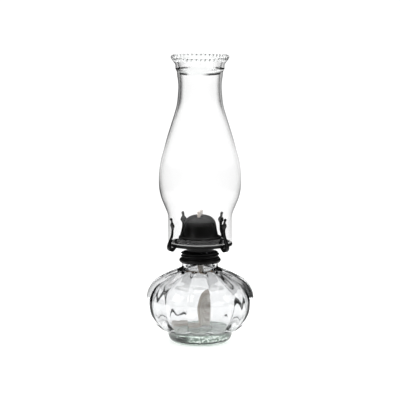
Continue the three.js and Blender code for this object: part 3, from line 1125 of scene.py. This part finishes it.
@dataclass
class Chimney:
    """The blown chimney with its flared, beaded rim."""

    bottom: float = 107.6
    fitter: float = 33.5
    wall: float = 2.1
    beads: int = 38
    facets_per_bead: int = 6
    bead_depth: float = 0.8
    pinched: tuple[float, float] = (301.5, 303.2)
    ground: float = 0.6
    rim_from: float = 286.0
    lip_from: float = 300.0
    collar: tuple[float, float] = (286.5, 290.6)

    def outline(self) -> Outline:
        """Half section of the wall, up the outside and down the inside.

        Returns:
            Radius and height of each point, in millimetres.
        """
        outside = smooth_line(
            [
                (self.fitter, 133.6), (34.35, 138.4), (37.0, 145.2), (40.6, 154), (42.9, 163.6),
                (43.4, 173.5), (42.9, 184), (41, 195.7), (38.4, 205), (34.9, 218), (31.2, 230),
                (27.6, 241.4), (25, 250.6), (23.8, 258), (22.8, 271.5), (23.3, 279.5), (23.9, 283),
            ],
            3,
        )
        rim = [
            (24.3, 288.2), (25.1, 289.8), (25.75, 291.2), (25.75, 294.8), (26.1, 296.2), (27.3, 297.8),
            (28.6, 299.6), (29.8, 301.2), (30.5, 302.5),
        ]
        lip = arc((28.9, 303.4), 1.85, -10, 190, 10)
        inside = smooth_line(
            [
                (26.4, 301.4), (23.6, 297), (22, 290), (21.2, 281), (20.8, 272), (21.8, 258),
                (25.6, 241.4), (33, 217), (38, 198), (41, 182), (41, 166), (35.6, 146),
                (self.fitter - self.wall, 131),
            ],
            4,
        )
        foot_in, foot_out = self.fitter - self.wall, self.fitter
        return [
            (foot_out - 0.5, self.bottom), (foot_out, self.bottom + self.ground), (foot_out, 114),
            (foot_out, 124), (foot_out, 130.6), *outside, *rim, *lip, *inside, (foot_in, 127),
            (foot_in, 114), (foot_in, self.bottom + self.ground), (foot_in + 0.5, self.bottom),
        ]

    def pinch(self, point: Vector) -> float:
        """How far the lip is pinched in between two beads.

        Args:
            point: the point, in millimetres.

        Returns:
            0 on a bead to 1 between two.
        """
        if point.z < self.pinched[0]:
            return 0.0
        wave = math.cos(self.beads * math.atan2(point.y, point.x))
        return (1 - wave) / 2 * smoothstep(*self.pinched, point.z)

    def coat(self, face: MeshPolygon) -> Coat:
        """Which material a face has.

        Args:
            face: the face.

        Returns:
            The face's material.
        """
        height = face.center.z / MM
        if height > self.lip_from or self.collar[0] < height < self.collar[1]:
            return Coat.LIP
        if height > self.rim_from:
            return Coat.RIM
        if height < self.bottom + self.ground:
            return Coat.GROUND
        inward = face.normal.x * face.center.x + face.normal.y * face.center.y < 0
        return Coat.INSIDE if inward else Coat.OUTSIDE

    def build(self, palette: Palette) -> None:
        """Models the chimney and dresses it.

        Args:
            palette: every finish on the lamp.
        """
        piece = Piece("chimney_glass").draw(self.outline(), closed=True)
        piece.spin(self.beads * self.facets_per_bead)
        piece.carve(self.bead_depth, self.pinch)
        piece.soften(60)
        made = piece.finish(
            Body.CHIMNEY.value, Slot.GLASS,
            [palette.blown, palette.rim, palette.ground, palette.inside, palette.lip], "chimney",
        )
        for face in made.data.polygons:
            face.material_index = self.coat(face)


# ------------------------------------------------------------------ burner


@dataclass
class ScrewCap:
    """The black cap with its rolled thread and beaded skirt."""

    root: float = 19.0
    top: float = CAP_TOP
    sheet: float = 0.55
    hole: float = 13.0
    facets: int = 120
    thread_low: float = 90.0
    thread_high: float = 96.6
    thread_fade: float = 0.6
    thread_skin: tuple[float, float] = (0.7, 0.2)

    def outline(self) -> Outline:
        """Half section of the cap's sheet, outside down and inside up.

        Returns:
            Radius and height of each point, in millimetres.
        """
        wall = [(self.root, 96.3 - THREAD_STEP * i) for i in range(21)]
        bead = smooth_line([(20.4, 90.35), (21.4, 89.9), (22.1, 88.4), (21.7, 86.8), (20.4, 85.7)], 4)
        inner_bead = [(20.1, 86.2), (21.1, 87), (21.5, 88.4), (20.9, 89.4), (20, 89.8)]
        inner = [(self.root - self.sheet, 90.5 + THREAD_STEP * i) for i in range(20)]
        return [
            (self.hole, self.top), (18.2, self.top), (18.8, 96.9), *wall, *bead, *inner_bead, *inner,
            (18, 96.4), (self.hole, 96.4),
        ]

    def thread(self, point: Vector) -> float:
        """Height of the rolled thread at a point.

        Args:
            point: the point, in millimetres.

        Returns:
            0 at the thread's root to 1 at its crest.
        """
        radius = math.hypot(point.x, point.y)
        on_wall = self.root - self.thread_skin[0] < radius < self.root + self.thread_skin[1]
        if not on_wall or not self.thread_low < point.z < self.thread_high:
            return 0.0
        top = smoothstep(self.thread_high - self.thread_fade, self.thread_high, point.z)
        return thread_wave(point) * (1 - top)

    def build(self, palette: Palette) -> None:
        """Models the cap; both faces of the sheet follow the thread.

        Args:
            palette: every finish on the lamp.
        """
        piece = Piece("cap_sheet").draw(self.outline(), closed=True).spin(self.facets)
        mesh = piece.object.data
        for vertex in mesh.vertices:
            point = vertex.co / MM
            radius = math.hypot(point.x, point.y)
            scale = 1 + THREAD_DEPTH * self.thread(point) / radius
            vertex.co.x *= scale
            vertex.co.y *= scale
        piece.soften(50)
        piece.finish(Body.BURNER.value, Slot.BLACK, [palette.enamel], "screw_cap")


def rivet_hole(degrees: float) -> Piece:
    """A cutter for the hole that a prong's rivet passes through.

    Args:
        degrees: where the prong stands.

    Returns:
        The cutter.
    """
    radius, low, high = 1.2, 102, 110
    turn = math.radians(degrees)
    foot = Vector((RIVET_CIRCLE * math.cos(turn), RIVET_CIRCLE * math.sin(turn), low))
    return rod("rivet_hole", radius, foot, foot + Vector((0, 0, high - low)), 20)


@dataclass
class BurnerBody:
    """Bowl, gallery and flame dome."""

    bowl_radius: float = 14.4
    bowl_lip: float = 21.0
    sheet: float = 0.8
    flange_top: float = 107.3
    flange_radius: float = 34.2
    flange_drop: float = 2.9
    dome_base: float = 22.6
    dome_step: float = 113.5
    dome_top: float = 136.4
    air_holes: int = 16
    air_hole: float = 0.9
    air_hole_ends: Pairs = ((15.0, 107.0), (19.0, 101.6))
    shaft_hole: float = 2.4
    shaft_hole_ends: tuple[float, float] = (8.0, 20.0)
    shaft_offset: float = 5.3
    shaft_height: float = 100.4
    slot_height: float = 134.0
    slot_size: tuple[float, float, float] = (20.2, 4.6, 14.0)
    dome_sheet: float = 0.7
    edge_round: float = 0.15

    def bowl(self, palette: Palette) -> None:
        """Pressed bowl with a ring of air holes.

        Args:
            palette: every finish on the lamp.
        """
        low, high = CAP_TOP + GAP, self.flange_top - self.sheet - GAP
        inner = self.bowl_radius - self.sheet
        piece = Piece("bowl").draw(
            [
                (13, low), *arc((self.bowl_radius - 0.6, low + 0.6), 0.6, -90, 0, 4),
                *smooth_line([(self.bowl_radius, 101.4), (14.8, 102.8), (17.2, 104.4), (20.4, 105.2)], 4),
                (self.bowl_lip, 105.5), (self.bowl_lip, high), (19.8, high),
                *smooth_line([(17.2, 105.2), (14.6, 103.9), (inner, 102.2), (inner, low + 1.2)], 4),
                (inner - 0.3, low + self.sheet), (13, low + self.sheet),
            ],
            closed=True,
        ).spin(72)
        cutters = []
        for i in range(self.air_holes):
            turn = math.tau * (i + 0.5) / self.air_holes
            out = Vector((math.cos(turn), math.sin(turn), 0))
            start, end = (out * radius + Vector((0, 0, z)) for radius, z in self.air_hole_ends)
            cutters.append(rod("hole", self.air_hole, start, end, 12))
        turn = math.radians(WICK_TURN)
        along = Vector((math.cos(turn), math.sin(turn), 0))
        side = Vector((-along.y, along.x, 0)) * self.shaft_offset + Vector((0, 0, self.shaft_height))
        start, end = (side + along * reach for reach in self.shaft_hole_ends)
        cutters.append(rod("hole", self.shaft_hole, start, end))
        piece.cut(*cutters).soften(35)
        piece.finish(Body.BURNER.value, Slot.BLACK, [palette.enamel], "burner_bowl")

    def gallery(self, palette: Palette) -> None:
        """Flange with a turned-down rim.

        Args:
            palette: every finish on the lamp.
        """
        r, top, low = self.flange_radius, self.flange_top, self.flange_top - self.flange_drop
        under = top - self.sheet
        piece = Piece("gallery_flange").draw(
            [
                (19.2, under), (32.2, under), *arc((32.4, under - 1), 1, 90, 0, 5), (r - 0.8, low + 0.3),
                *arc((r - 0.4, low + 0.3), 0.4, 180, 360, 6),
                *arc((r - 1.7, top - 1.7), 1.7, 0, 90, 8), (28.8, top), (28.4, top - 0.25), (24, top - 0.25),
                (23.6, top), (19.2, top),
            ],
            closed=True,
        ).spin(144)
        piece.cut(*[rivet_hole(degrees) for degrees in PRONG_PLACES.values()]).soften(40)
        piece.finish(Body.BURNER.value, Slot.BLACK, [palette.enamel], "gallery")

    def dome(self, palette: Palette) -> None:
        """Slotted dome on a stepped base.

        Args:
            palette: every finish on the lamp.
        """
        foot, base, step = self.flange_top + GAP, self.dome_base, self.dome_step
        outside = [
            (base, foot), (base, step - 1.4), *arc((base - 0.8, step - 0.8), 0.8, 0, 90, 5),
            (20.6, step + 0.05), (19.9, step + 0.3), (19.4, step + 0.9),
            *smooth_line(
                [
                    (19.1, step + 1.8), (18.3, 118.6), (17.6, 122.6), (16.9, 126.4), (15.9, 129.8),
                    (13.8, 132.6), (10.4, 134.8), (5.5, self.dome_top - 0.3), (0, self.dome_top),
                ],
                5,
            ),
        ]
        piece = Piece("dome_sheet").draw(outside, closed=False).spin(96)
        piece.modify("SOLIDIFY", thickness=self.dome_sheet * MM, offset=-1)
        slot = block("slot", (0, 0, self.slot_height), self.slot_size).turn(WICK_TURN)
        piece.cut(slot).round_edges(self.edge_round).soften(35)
        piece.finish(Body.BURNER.value, Slot.BLACK, [palette.enamel], "flame_dome")

    def build(self, palette: Palette) -> None:
        """Models every pressed sheet of the burner.

        Args:
            palette: every finish on the lamp.
        """
        self.bowl(palette)
        self.gallery(palette)
        self.dome(palette)


@dataclass
class Prongs:
    """Four sprung prongs, each a bent strip that ends in a leaf and a round tip."""

    sheet: float = 0.8
    half_strip: float = 2.1
    waist: float = 0.5
    waist_span: tuple[float, float] = (112.0, 121.0)
    leaf: Pairs = (
        (123.4, 1.6), (124.8, 2.4), (126.2, 3.5), (127.8, 3.7), (129.2, 2.9), (130.2, 1.7),
        (131.4, 1.25), (132.6, 1.5), (134, 1.5),
    )
    tip: float = 1.5
    tip_place: tuple[float, float, float] = (36.1, 0.0, 134.2)
    block_width: float = 3.4
    pin_hole: float = 0.85
    pin_place: tuple[float, float] = (36.6, 102.8)
    edge_round: float = 0.15

    def side(self) -> Outline:
        """Side view of the strip, from its rivet round the rim and up the glass.

        Returns:
            Radius and height of each point, in millimetres.
        """
        return smooth_line(
            [
                (24.4, 105.75), (27.4, 105.75), (30.4, 104.9), (32.4, 102.6), (34.8, 100.4), (37.8, 101),
                (39.6, 103.6), (39.3, 107), (37.3, 111.4), (35.2, 116.4), (34.5, 121.4), (34.5, 126.4),
                (35, 130.4), (35.9, 133.6),
            ],
            4,
        )

    def half_width(self, height: float, after_loop: bool) -> float:
        """Half the strip's width at a height on its way up the glass.

        Args:
            height: the height, in millimetres.
            after_loop: True past the strip's lowest point.

        Returns:
            Half the width, in millimetres.
        """
        if not after_loop:
            return self.half_strip
        if height < self.leaf[0][0]:
            return self.half_strip - self.waist * smoothstep(*self.waist_span, height)
        for (z0, w0), (z1, w1) in zip(self.leaf, self.leaf[1:]):
            if height <= z1:
                return w0 + (w1 - w0) * smoothstep(z0, z1, height)
        return self.leaf[-1][1]

    def strip(self) -> Piece:
        """One prong, standing along +X.

        Returns:
            The prong.
        """
        line = self.side()
        deselect()
        bpy.ops.mesh.primitive_plane_add(size=MM)
        piece = Piece("prong").adopt()
        piece.edit()
        bpy.ops.transform.resize(value=(0, 2 * self.half_strip, 1))
        bpy.ops.mesh.remove_doubles(threshold=DRAWN_WELD)
        bpy.ops.transform.translate(value=(line[0][0] * MM, 0, line[0][1] * MM))
        width = self.half_strip
        lowest = min(range(len(line)), key=lambda i: line[i][1])
        for i, ((r0, z0), (r1, z1)) in enumerate(zip(line, line[1:])):
            step = ((r1 - r0) * MM, 0, (z1 - z0) * MM)
            bpy.ops.mesh.extrude_region_move(TRANSFORM_OT_translate={"value": step})
            wanted = self.half_width(z1, i > lowest)
            centre = (r1 * MM, 0, z1 * MM)
            bpy.ops.transform.resize(value=(1, wanted / width, 1), center_override=centre)
            width = wanted
        bpy.ops.object.mode_set(mode="OBJECT")
        piece.modify("SOLIDIFY", thickness=self.sheet * MM, offset=0).close()
        deselect()
        bpy.ops.mesh.primitive_uv_sphere_add(
            segments=20, ring_count=12, radius=self.tip * MM, location=[c * MM for c in self.tip_place]
        )
        ball = Piece("ball").adopt().settle()
        piece.unite(ball, self.bracket()).cut(rivet_hole(0))
        return piece.round_edges(self.edge_round).close()

    def bracket(self) -> Piece:
        """The folded block under the rim that the strip wraps, with its pin hole.

        Returns:
            The block.
        """
        outline = [
            (31.2, 104.3), (32.7, 102.5), (34.9, 100.7), (37.6, 101.2), (39.3, 103.7), (39, 106.9),
            (37.2, 110.9), (36.5, 110.9), (37.3, 107.4), (36.9, 105.2), (35.2, 104), (33, 103.9),
        ]
        piece = Piece("bracket").draw(outline, closed=True)
        piece.edit()
        bpy.ops.mesh.edge_face_add()
        width = (0, self.block_width * MM, 0)
        bpy.ops.mesh.extrude_region_move(TRANSFORM_OT_translate={"value": width})
        bpy.ops.mesh.select_all(action="SELECT")
        bpy.ops.transform.translate(value=(0, -self.block_width / 2 * MM, 0))
        (x, z), reach = self.pin_place, 4
        pin = rod("pin_hole", self.pin_hole, Vector((x, -reach, z)), Vector((x, reach, z)), 16)
        return piece.close().cut(pin)

    def build(self, palette: Palette) -> None:
        """Models one prong and its rivet, and sets the four of each in place.

        Args:
            palette: every finish on the lamp.
        """
        strip = self.strip().soften(35)
        head = arc((0, 106.55), 2.1, 40, 90, 5)
        rivet = Piece("rivet").draw(
            [
                (0, 104.0), (1.2, 104.05), (1.75, 104.4), (1.9, 105.05), (1, 105.05), (1, 107.35),
                (1.85, 107.35), *head,
            ],
            closed=False,
        ).spin(24)
        rivet.object.location.x = RIVET_CIRCLE * MM
        rivet.settle().soften(40)
        for place, degrees in PRONG_PLACES.items():
            strip.copy(f"spring_{place}").turn(degrees).finish(
                f"spring_{place}", Slot.BLACK, [palette.enamel], f"prong_{place}"
            )
            rivet.copy(f"rivet_{place}").turn(degrees).finish(
                Body.BURNER.value, Slot.BLACK, [palette.enamel], f"prong_rivet_{place}"
            )
        strip.discard()
        rivet.discard()


@dataclass
class Wick:
    """The woven wick, from its lit end through the tube to its tail on the font's floor."""

    width: float = 16.0
    thickness: float = 2.5
    top: float = 140.4
    tube_foot: float = 84.0
    edge_on: float = 12.0
    edge_on_span: tuple[float, float] = (66.0, 82.0)
    open_out: float = 36.0
    open_span: tuple[float, float] = (18.0, 70.0)
    floor_span: tuple[float, float] = (15.0, 22.0)
    rows: int = 170
    columns: int = 18

    def twist(self, height: float) -> float:
        """How far the loose end has turned about its own length at a height, in radians.

        Args:
            height: the height, in millimetres.

        Returns:
            The turn, in radians.
        """
        edge_on = math.radians(self.edge_on) * (1 - smoothstep(*self.edge_on_span, height))
        open_out = math.radians(self.open_out) * (1 - smoothstep(*self.open_span, height))
        return open_out * smoothstep(*self.floor_span, height) - edge_on

    def path(self) -> Outline:
        """Side and height of the wick's middle, from the top down.

        Returns:
            The points, in millimetres.
        """
        tail = smooth_line(
            [
                (0, 84), (1.5, 76), (4, 68), (4.4, 58), (2.6, 48), (2, 38), (3.5, 28), (4, 21),
                (0, 17), (-9, 15.8), (-19, 15.8), (-30, 17.4),
            ],
            10,
        )
        steps = 40
        straight = [(0.0, self.top - (self.top - self.tube_foot) * i / steps) for i in range(steps)]
        return straight + tail

    def build(self, palette: Palette) -> None:
        """Models the wick as one strap, from its lit end to its loose end on the font's floor.

        Args:
            palette: every finish on the lamp.
        """
        line = self.path()
        reach = [0.0]
        for (x0, z0), (x1, z1) in zip(line, line[1:]):
            reach.append(reach[-1] + math.hypot(x1 - x0, z1 - z0))
        deselect()
        bpy.ops.mesh.primitive_grid_add(
            x_subdivisions=self.columns, y_subdivisions=self.rows, size=1, calc_uvs=True
        )
        piece = Piece("woven_wick").adopt()
        mesh = piece.object.data
        mesh.uv_layers[0].name = WEAVE_MAP
        length = reach[-1]
        for loop, uv in zip(mesh.loops, mesh.uv_layers[WEAVE_MAP].data):
            co = mesh.vertices[loop.vertex_index].co
            uv.uv = (co.x + 0.5, (0.5 - co.y) * length * MM)
        for vertex in mesh.vertices:
            across, down = vertex.co.x, (0.5 - vertex.co.y) * length
            i = max(1, next((k for k, s in enumerate(reach) if s >= down - 1e-9), len(reach) - 1))
            part = (down - reach[i - 1]) / (reach[i] - reach[i - 1])
            (x0, z0), (x1, z1) = line[i - 1], line[i]
            twist = self.twist(z0) + (self.twist(z1) - self.twist(z0)) * part
            side, ahead = across * self.width * math.cos(twist), across * self.width * math.sin(twist)
            vertex.co = Vector((x0 + (x1 - x0) * part + ahead, side, z0 + (z1 - z0) * part)) * MM
        piece.modify("SOLIDIFY", thickness=self.thickness * MM, offset=0)
        piece.close().turn(WICK_TURN - 90).soften(60)
        piece.dress([palette.cotton])
        made = piece.object
        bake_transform(made)
        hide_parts("wick", "wick_tail")
        LOG.info("woven_wick: %d faces, %.0f mm long", len(made.data.polygons), length)


@dataclass
class Fittings:
    """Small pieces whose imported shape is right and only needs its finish."""

    black: tuple[str, ...] = ("air_plate", "wick_tube", "raiser_housing", "thumb_wheel")
    steel: tuple[str, ...] = ("wick_shaft", "star_wheel_1", "star_wheel_2", "star_wheel_3", "shaft_bush")

    def dress(self, name: str, material: Material) -> None:
        """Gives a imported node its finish.

        Args:
            name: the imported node's name.
            material: its finish.
        """
        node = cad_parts[name]
        if not node.material_slots:
            node.data.materials.append(material)
        for slot in node.material_slots:
            slot.material = material
        LOG.info("%s: dressed in %s", name, material.name)

    def build(self, palette: Palette) -> None:
        """Dresses every kept node.

        Args:
            palette: every finish on the lamp.
        """
        for name in self.black:
            self.dress(name, palette.enamel)
        for name in self.steel:
            self.dress(name, palette.steel)
        self.dress("cap_gasket", palette.cork)


# ------------------------------------------------------------------ studio


@dataclass(frozen=True)
class Softbox:
    """A soft square light that looks at the lamp. Lengths are metres, its power is in watts."""

    name: str
    place: tuple[float, float, float]
    size: float
    power: float

    def make(self, target: Vector) -> None:
        """Hangs the light where it looks at the target.

        Args:
            target: what the light looks at, in metres.
        """
        data = bpy.data.lights.new(self.name, "AREA")
        data.size, data.energy = self.size, self.power
        light = bpy.data.objects.new(self.name, data)
        bpy.context.scene.collection.objects.link(light)
        light.location = self.place
        light.rotation_mode = "QUATERNION"
        light.rotation_quaternion = (target - light.location).to_track_quat("-Z", "Y")


@dataclass
class Studio:
    """Plain pale floor, soft light and the camera. Lengths here are metres.

    `mirrored` pairs a height, 0 under foot and 1 overhead, with the grey that shiny surfaces
    reflect there. `bent` pairs how far a ray through glass runs along `bright_side`, 0 against it
    and 1 with it, with the grey seen there.
    """

    distance: float = 2.93
    eye_height: float = 0.56
    look_height: float = 0.152
    frame_width: float = 0.4223
    sensor: float = 36.0
    floor_radius: float = 0.62
    floor_drop: float = 0.0004
    light_target: float = 0.15
    seen: float = 1.1
    bounced: float = 1.05
    bright_side: tuple[float, float, float] = (-0.3, 0.93, 0.17)
    mirrored: Pairs = ((0, 0.9), (0.34, 0.6), (0.39, 0.02), (0.74, 0.02), (0.9, 0.7), (1, 1.0))
    bent: Pairs = ((0, 0.8), (0.4, 0.6), (0.5, 0.03), (0.885, 0.03), (0.935, 1.05), (1, 1.05))
    lights: tuple[Softbox, ...] = (
        Softbox("overhead", (0.0, -0.1, 1.6), size=1.4, power=16),
        Softbox("left_key", (-1.3, -0.9, 1.0), size=0.8, power=8),
        Softbox("right_fill", (1.4, -0.5, 0.8), size=0.6, power=4),
    )

    def camera(self) -> None:
        """Sets the camera in front of the lamp, a little above it."""
        data = bpy.data.cameras.new("camera")
        eye = bpy.data.objects.new("camera", data)
        bpy.context.scene.collection.objects.link(eye)
        run = math.sqrt(self.distance**2 - (self.eye_height - self.look_height) ** 2)
        eye.location = (0, -run, self.eye_height)
        target = Vector((0, 0, self.look_height))
        eye.rotation_mode = "QUATERNION"
        eye.rotation_quaternion = (target - eye.location).to_track_quat("-Z", "Y")
        data.sensor_width = self.sensor
        data.lens = self.sensor * self.distance / self.frame_width
        data.clip_start, data.clip_end = 0.05, 50
        bpy.context.scene.camera = eye

    def floor(self) -> None:
        """A round pale floor under the lamp."""
        deselect()
        bpy.ops.mesh.primitive_circle_add(vertices=96, radius=self.floor_radius, fill_type="NGON")
        disc = bpy.context.view_layer.objects.active
        disc.name = "floor"
        disc.location.z = -self.floor_drop
        material = bpy.data.materials.new("pale_floor")
        material.use_nodes = True
        n = Nodes(material.node_tree)
        shader = n.add(
            "ShaderNodeBsdfPrincipled",
            Roughness=0.9,
            Specular_IOR_Level=0.1,
            Base_Color=(0.9, 0.9, 0.9, 1),
            Emission_Color=(1, 1, 1, 1),
            Emission_Strength=0.2,
        )
        n.surface(shader)
        disc.data.materials.append(material)

    def sky(self) -> None:
        """White for the eye, and darker bands for what shiny surfaces and glass show."""
        world = bpy.data.worlds.new("studio")
        bpy.context.scene.world = world
        world.use_nodes = True
        n = Nodes(world.node_tree)
        place = n.add("ShaderNodeTexCoord").outputs["Generated"]
        parts = n.add("ShaderNodeSeparateXYZ", Vector=place).outputs
        mirrored = n.ramp(n.halved(parts["Z"]), self.mirrored)
        ahead = n.add("ShaderNodeVectorMath", operation="DOT_PRODUCT")
        n.join(place, ahead.inputs[0])
        n.join(self.bright_side, ahead.inputs[1])
        bent = n.ramp(n.halved(ahead.outputs["Value"]), self.bent)
        rays = n.add("ShaderNodeLightPath").outputs
        struck = n.blend(rays["Is Glossy Ray"], (*(self.bounced,) * 3, 1), mirrored)
        through = n.blend(rays["Is Transmission Ray"], struck, bent)
        eye = n.blend(rays["Is Camera Ray"], through, (*(self.seen,) * 3, 1))
        background = n.add("ShaderNodeBackground", Color=eye).outputs[0]
        n.add("ShaderNodeOutputWorld", Surface=background)

    def build(self) -> None:
        """Sets up the whole studio."""
        bpy.context.scene.view_settings.view_transform = "Standard"
        self.camera()
        self.floor()
        self.sky()
        for light in self.lights:
            light.make(Vector((0, 0, self.light_target)))


def main() -> None:
    """Builds the studio and the lamp."""
    Studio().build()
    palette = Palette()
    for part in (Font(), ScrewCap(), BurnerBody(), Prongs(), Wick(), Fittings(), Chimney()):
        part.build(palette)
        LOG.info("%s done", type(part).__name__)
    deselect()


if __name__ == "__main__":
    main()
